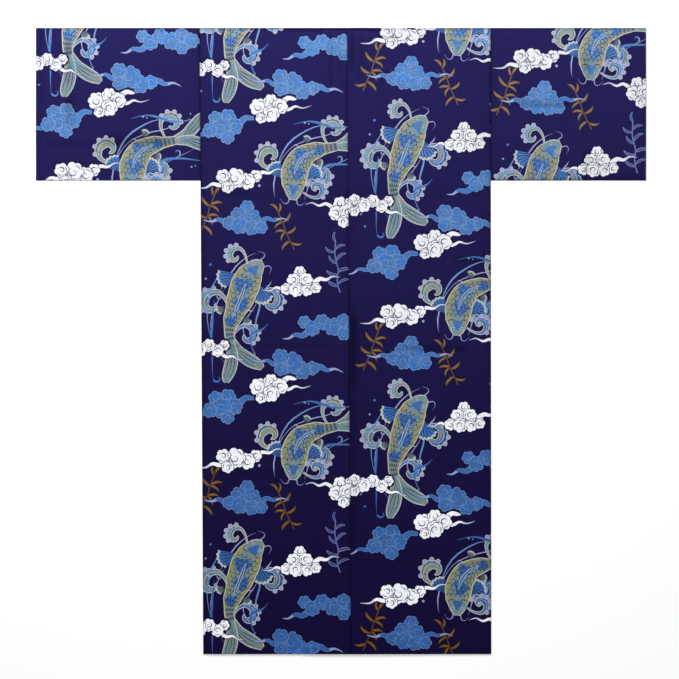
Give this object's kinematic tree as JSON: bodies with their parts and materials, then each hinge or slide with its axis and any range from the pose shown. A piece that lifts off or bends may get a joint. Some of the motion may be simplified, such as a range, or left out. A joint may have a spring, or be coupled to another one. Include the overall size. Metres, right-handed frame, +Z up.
{
  "type": "yukata laid flat",
  "caption": "Men's cotton yukata laid flat on its front, back up, with square sleeves, folded collar and overlapping fronts.",
  "frame": {"origin": "on the underside, on the left gusset's face that rests on the surface, below the middle of the back and halfway between the shoulder line and the hem", "axes": "+X to the wearer's right, +Y to the shoulders, +Z up out of the back, away from the surface it lies on"},
  "size_m": [1.396, 1.433, 0.0064],
  "materials": {
    "printed_cotton_left": "plain-woven cotton, navy with a white, blue, green-grey and gold print",
    "printed_cotton_right": "plain-woven cotton, navy with a white, blue, green-grey and gold print",
    "printed_cotton_sleeve_left": "plain-woven cotton, navy with a white, blue, green-grey and gold print",
    "printed_cotton_sleeve_right": "plain-woven cotton, navy with a white, blue, green-grey and gold print",
    "printed_cotton_okumi_left": "plain-woven cotton, navy with a white, blue, green-grey and gold print",
    "printed_cotton_okumi_right": "plain-woven cotton, navy with a white, blue, green-grey and gold print",
    "printed_cotton_collar": "plain-woven cotton, navy with a white, blue, green-grey and gold print",
    "printed_cotton_collar_cover": "plain-woven cotton, navy with a white, blue, green-grey and gold print"
  },
  "bodies": {
    "root": {"body_left": "printed_cotton_left", "body_right": "printed_cotton_right", "sleeve_left": "printed_cotton_sleeve_left", "sleeve_right": "printed_cotton_sleeve_right", "okumi_left": "printed_cotton_okumi_left", "okumi_right": "printed_cotton_okumi_right", "collar": "printed_cotton_collar", "collar_cover": "printed_cotton_collar_cover"}
  },
  "joints": []
}
